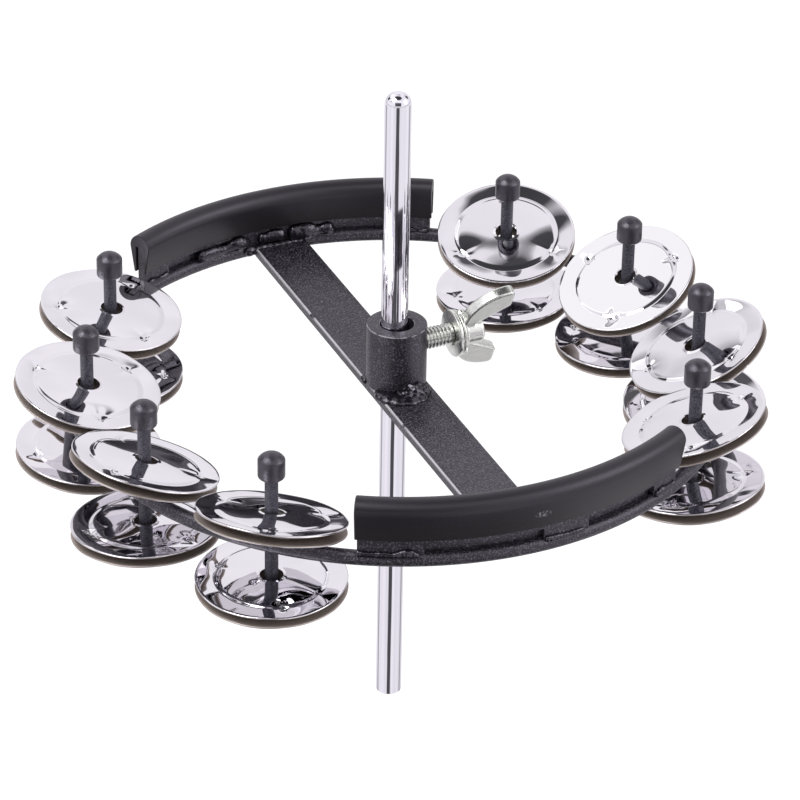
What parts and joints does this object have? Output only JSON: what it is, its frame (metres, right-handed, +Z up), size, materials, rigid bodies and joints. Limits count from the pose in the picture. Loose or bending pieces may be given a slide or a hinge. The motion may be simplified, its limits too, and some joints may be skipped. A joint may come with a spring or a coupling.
{
  "type": "hi-hat tambourine",
  "caption": "Steel ring with jingle pairs on upright pins and rubber beater pads, clamped on a hi-hat pull rod by a wing bolt through its collar.",
  "frame": {"origin": "centre of the pull rod's lower end face", "axes": "+Z up along the pull rod, +X along the wing bolt and away from the rod, +Y along the cross bar towards the back beater pad"},
  "size_m": [0.1964, 0.1774, 0.182],
  "materials": {
    "chromed_rod": "chrome plated steel rod with fine scratches",
    "black_powder_coat": "satin black powder coat on welded steel",
    "black_rubber": "satin black moulded rubber",
    "zinc_bolt": "bright zinc plated steel",
    "zinc_washer": "bright zinc plated steel",
    "blackened_pin": "rough black coated steel pin",
    "black_cap": "satin black cap",
    "polished_nickel": "polished nickel plated steel sheet"
  },
  "bodies": {
    "rod": {"pull_rod": "chromed_rod"},
    "frame": {"ring": "black_powder_coat", "cross_bar": "black_powder_coat", "rod_collar": "black_powder_coat", "front_pad_rail": "black_powder_coat", "back_pad_rail": "black_powder_coat", "front_beater_pad": "black_rubber", "back_beater_pad": "black_rubber", "jingle_pin_1": "blackened_pin", "jingle_pin_2": "blackened_pin", "jingle_pin_3": "blackened_pin", "jingle_pin_4": "blackened_pin", "jingle_pin_5": "blackened_pin", "jingle_pin_6": "blackened_pin", "jingle_pin_7": "blackened_pin", "jingle_pin_8": "blackened_pin", "pin_cap_1": "black_cap", "pin_cap_2": "black_cap", "pin_cap_3": "black_cap", "pin_cap_4": "black_cap", "pin_cap_5": "black_cap", "pin_cap_6": "black_cap", "pin_cap_7": "black_cap", "pin_cap_8": "black_cap"},
    "washer": {"bolt_washer": "zinc_washer"},
    "wing_bolt": {"wing_bolt": "zinc_bolt"},
    "jingle_1_upper_top": {"jingle_1_upper_top": "polished_nickel"},
    "jingle_1_upper_base": {"jingle_1_upper_base": "polished_nickel"},
    "jingle_1_lower_top": {"jingle_1_lower_top": "polished_nickel"},
    "jingle_1_lower_base": {"jingle_1_lower_base": "polished_nickel"},
    "jingle_2_upper_top": {"jingle_2_upper_top": "polished_nickel"},
    "jingle_2_upper_base": {"jingle_2_upper_base": "polished_nickel"},
    "jingle_2_lower_top": {"jingle_2_lower_top": "polished_nickel"},
    "jingle_2_lower_base": {"jingle_2_lower_base": "polished_nickel"},
    "jingle_3_upper_top": {"jingle_3_upper_top": "polished_nickel"},
    "jingle_3_upper_base": {"jingle_3_upper_base": "polished_nickel"},
    "jingle_3_lower_top": {"jingle_3_lower_top": "polished_nickel"},
    "jingle_3_lower_base": {"jingle_3_lower_base": "polished_nickel"},
    "jingle_4_upper_top": {"jingle_4_upper_top": "polished_nickel"},
    "jingle_4_upper_base": {"jingle_4_upper_base": "polished_nickel"},
    "jingle_4_lower_top": {"jingle_4_lower_top": "polished_nickel"},
    "jingle_4_lower_base": {"jingle_4_lower_base": "polished_nickel"},
    "jingle_5_upper_top": {"jingle_5_upper_top": "polished_nickel"},
    "jingle_5_upper_base": {"jingle_5_upper_base": "polished_nickel"},
    "jingle_5_lower_top": {"jingle_5_lower_top": "polished_nickel"},
    "jingle_5_lower_base": {"jingle_5_lower_base": "polished_nickel"},
    "jingle_6_upper_top": {"jingle_6_upper_top": "polished_nickel"},
    "jingle_6_upper_base": {"jingle_6_upper_base": "polished_nickel"},
    "jingle_6_lower_top": {"jingle_6_lower_top": "polished_nickel"},
    "jingle_6_lower_base": {"jingle_6_lower_base": "polished_nickel"},
    "jingle_7_upper_top": {"jingle_7_upper_top": "polished_nickel"},
    "jingle_7_upper_base": {"jingle_7_upper_base": "polished_nickel"},
    "jingle_7_lower_top": {"jingle_7_lower_top": "polished_nickel"},
    "jingle_7_lower_base": {"jingle_7_lower_base": "polished_nickel"},
    "jingle_8_upper_top": {"jingle_8_upper_top": "polished_nickel"},
    "jingle_8_upper_base": {"jingle_8_upper_base": "polished_nickel"},
    "jingle_8_lower_top": {"jingle_8_lower_top": "polished_nickel"},
    "jingle_8_lower_base": {"jingle_8_lower_base": "polished_nickel"}
  },
  "joints": [
    {"name": "frame_slide", "type": "slide", "parent": "rod", "child": "frame", "axis": [0, 0, 1], "range_m": [-0.07, 0.06]},
    {"name": "washer_slide", "type": "slide", "parent": "frame", "child": "washer", "axis": [1, 0, 0], "range_m": [0, 0.003]},
    {"name": "bolt_turn", "type": "hinge", "parent": "washer", "child": "wing_bolt", "pos_m": [0.0157, 0, 0.10865], "axis": [1, 0, 0], "range_deg": [0, 1080]},
    {"name": "jingle_1_upper_top_slide", "type": "slide", "parent": "frame", "child": "jingle_1_upper_top", "axis": [0, 0, 1], "range_m": [0, 0.008]},
    {"name": "jingle_1_upper_base_slide", "type": "slide", "parent": "frame", "child": "jingle_1_upper_base", "axis": [0, 0, 1], "range_m": [0, 0.0068]},
    {"name": "jingle_1_lower_top_slide", "type": "slide", "parent": "frame", "child": "jingle_1_lower_top", "axis": [0, 0, 1], "range_m": [0, 0.006]},
    {"name": "jingle_1_lower_base_slide", "type": "slide", "parent": "frame", "child": "jingle_1_lower_base", "axis": [0, 0, 1], "range_m": [0, 0.0051]},
    {"name": "jingle_2_upper_top_slide", "type": "slide", "parent": "frame", "child": "jingle_2_upper_top", "axis": [0, 0, 1], "range_m": [0, 0.008]},
    {"name": "jingle_2_upper_base_slide", "type": "slide", "parent": "frame", "child": "jingle_2_upper_base", "axis": [0, 0, 1], "range_m": [0, 0.0068]},
    {"name": "jingle_2_lower_top_slide", "type": "slide", "parent": "frame", "child": "jingle_2_lower_top", "axis": [0, 0, 1], "range_m": [0, 0.006]},
    {"name": "jingle_2_lower_base_slide", "type": "slide", "parent": "frame", "child": "jingle_2_lower_base", "axis": [0, 0, 1], "range_m": [0, 0.0051]},
    {"name": "jingle_3_upper_top_slide", "type": "slide", "parent": "frame", "child": "jingle_3_upper_top", "axis": [0, 0, 1], "range_m": [0, 0.008]},
    {"name": "jingle_3_upper_base_slide", "type": "slide", "parent": "frame", "child": "jingle_3_upper_base", "axis": [0, 0, 1], "range_m": [0, 0.0068]},
    {"name": "jingle_3_lower_top_slide", "type": "slide", "parent": "frame", "child": "jingle_3_lower_top", "axis": [0, 0, 1], "range_m": [0, 0.006]},
    {"name": "jingle_3_lower_base_slide", "type": "slide", "parent": "frame", "child": "jingle_3_lower_base", "axis": [0, 0, 1], "range_m": [0, 0.0051]},
    {"name": "jingle_4_upper_top_slide", "type": "slide", "parent": "frame", "child": "jingle_4_upper_top", "axis": [0, 0, 1], "range_m": [0, 0.008]},
    {"name": "jingle_4_upper_base_slide", "type": "slide", "parent": "frame", "child": "jingle_4_upper_base", "axis": [0, 0, 1], "range_m": [0, 0.0068]},
    {"name": "jingle_4_lower_top_slide", "type": "slide", "parent": "frame", "child": "jingle_4_lower_top", "axis": [0, 0, 1], "range_m": [0, 0.006]},
    {"name": "jingle_4_lower_base_slide", "type": "slide", "parent": "frame", "child": "jingle_4_lower_base", "axis": [0, 0, 1], "range_m": [0, 0.0051]},
    {"name": "jingle_5_upper_top_slide", "type": "slide", "parent": "frame", "child": "jingle_5_upper_top", "axis": [0, 0, 1], "range_m": [0, 0.008]},
    {"name": "jingle_5_upper_base_slide", "type": "slide", "parent": "frame", "child": "jingle_5_upper_base", "axis": [0, 0, 1], "range_m": [0, 0.0068]},
    {"name": "jingle_5_lower_top_slide", "type": "slide", "parent": "frame", "child": "jingle_5_lower_top", "axis": [0, 0, 1], "range_m": [0, 0.006]},
    {"name": "jingle_5_lower_base_slide", "type": "slide", "parent": "frame", "child": "jingle_5_lower_base", "axis": [0, 0, 1], "range_m": [0, 0.0051]},
    {"name": "jingle_6_upper_top_slide", "type": "slide", "parent": "frame", "child": "jingle_6_upper_top", "axis": [0, 0, 1], "range_m": [0, 0.008]},
    {"name": "jingle_6_upper_base_slide", "type": "slide", "parent": "frame", "child": "jingle_6_upper_base", "axis": [0, 0, 1], "range_m": [0, 0.0068]},
    {"name": "jingle_6_lower_top_slide", "type": "slide", "parent": "frame", "child": "jingle_6_lower_top", "axis": [0, 0, 1], "range_m": [0, 0.006]},
    {"name": "jingle_6_lower_base_slide", "type": "slide", "parent": "frame", "child": "jingle_6_lower_base", "axis": [0, 0, 1], "range_m": [0, 0.0051]},
    {"name": "jingle_7_upper_top_slide", "type": "slide", "parent": "frame", "child": "jingle_7_upper_top", "axis": [0, 0, 1], "range_m": [0, 0.008]},
    {"name": "jingle_7_upper_base_slide", "type": "slide", "parent": "frame", "child": "jingle_7_upper_base", "axis": [0, 0, 1], "range_m": [0, 0.0068]},
    {"name": "jingle_7_lower_top_slide", "type": "slide", "parent": "frame", "child": "jingle_7_lower_top", "axis": [0, 0, 1], "range_m": [0, 0.006]},
    {"name": "jingle_7_lower_base_slide", "type": "slide", "parent": "frame", "child": "jingle_7_lower_base", "axis": [0, 0, 1], "range_m": [0, 0.0051]},
    {"name": "jingle_8_upper_top_slide", "type": "slide", "parent": "frame", "child": "jingle_8_upper_top", "axis": [0, 0, 1], "range_m": [0, 0.008]},
    {"name": "jingle_8_upper_base_slide", "type": "slide", "parent": "frame", "child": "jingle_8_upper_base", "axis": [0, 0, 1], "range_m": [0, 0.0068]},
    {"name": "jingle_8_lower_top_slide", "type": "slide", "parent": "frame", "child": "jingle_8_lower_top", "axis": [0, 0, 1], "range_m": [0, 0.006]},
    {"name": "jingle_8_lower_base_slide", "type": "slide", "parent": "frame", "child": "jingle_8_lower_base", "axis": [0, 0, 1], "range_m": [0, 0.0051]}
  ],
  "couplings": [
    {"joint": "washer_slide", "follows": "bolt_turn", "m_per_rad": 0.00015915},
    {"joint": "jingle_1_upper_base_slide", "follows": "jingle_1_upper_top_slide", "ratio": 0.85},
    {"joint": "jingle_1_lower_base_slide", "follows": "jingle_1_lower_top_slide", "ratio": 0.85},
    {"joint": "jingle_2_upper_base_slide", "follows": "jingle_2_upper_top_slide", "ratio": 0.85},
    {"joint": "jingle_2_lower_base_slide", "follows": "jingle_2_lower_top_slide", "ratio": 0.85},
    {"joint": "jingle_3_upper_base_slide", "follows": "jingle_3_upper_top_slide", "ratio": 0.85},
    {"joint": "jingle_3_lower_base_slide", "follows": "jingle_3_lower_top_slide", "ratio": 0.85},
    {"joint": "jingle_4_upper_base_slide", "follows": "jingle_4_upper_top_slide", "ratio": 0.85},
    {"joint": "jingle_4_lower_base_slide", "follows": "jingle_4_lower_top_slide", "ratio": 0.85},
    {"joint": "jingle_5_upper_base_slide", "follows": "jingle_5_upper_top_slide", "ratio": 0.85},
    {"joint": "jingle_5_lower_base_slide", "follows": "jingle_5_lower_top_slide", "ratio": 0.85},
    {"joint": "jingle_6_upper_base_slide", "follows": "jingle_6_upper_top_slide", "ratio": 0.85},
    {"joint": "jingle_6_lower_base_slide", "follows": "jingle_6_lower_top_slide", "ratio": 0.85},
    {"joint": "jingle_7_upper_base_slide", "follows": "jingle_7_upper_top_slide", "ratio": 0.85},
    {"joint": "jingle_7_lower_base_slide", "follows": "jingle_7_lower_top_slide", "ratio": 0.85},
    {"joint": "jingle_8_upper_base_slide", "follows": "jingle_8_upper_top_slide", "ratio": 0.85},
    {"joint": "jingle_8_lower_base_slide", "follows": "jingle_8_lower_top_slide", "ratio": 0.85}
  ]
}
